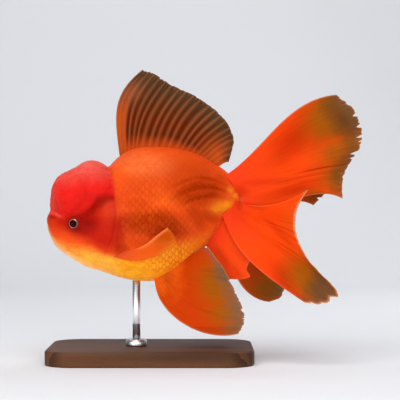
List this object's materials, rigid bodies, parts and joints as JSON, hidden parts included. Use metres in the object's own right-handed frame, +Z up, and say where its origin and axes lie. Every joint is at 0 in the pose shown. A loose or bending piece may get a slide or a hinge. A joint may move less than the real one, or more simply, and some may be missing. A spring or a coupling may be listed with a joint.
{
  "type": "life-size model of a red oranda goldfish",
  "caption": "Life-size museum model of a red oranda, a fancy goldfish with a fleshy hood and twin flowing tail, swimming slightly nose-down on a rod above a flat wooden base.",
  "frame": {"origin": "centre of the underside of the stand's base", "axes": "+Z up, nose towards -X, the fish's left side towards -Y"},
  "size_m": [0.1719, 0.078, 0.1596],
  "materials": {
    "skin_red": "wet satin, red",
    "skin_orange": "wet satin with fine scales, orange",
    "hood_red": "moist and finely lumpy, bright red",
    "fin_membrane": "translucent rayed membrane, orange fading to clear at the margin",
    "eye_black": "polished, black pupil with a thin silvery ring",
    "walnut": "oiled dark walnut",
    "steel": "brushed"
  },
  "bodies": {
    "root": {"head": "skin_red", "hood": "hood_red", "lower_jaw": "skin_red", "gill_cover_left": "skin_red", "gill_cover_right": "skin_red", "eye_left": "eye_black", "eye_right": "eye_black", "trunk": "skin_orange", "tail_stalk": "skin_orange", "dorsal_fin": "fin_membrane", "pectoral_fin_left": "fin_membrane", "pectoral_fin_right": "fin_membrane", "pelvic_fin_left": "fin_membrane", "pelvic_fin_right": "fin_membrane", "anal_fin_left": "fin_membrane", "anal_fin_right": "fin_membrane", "tail_upper_left": "fin_membrane", "tail_upper_right": "fin_membrane", "tail_lower_left": "fin_membrane", "tail_lower_right": "fin_membrane", "stand_base": "walnut", "stand_collar": "steel", "stand_rod": "steel"}
  },
  "joints": []
}
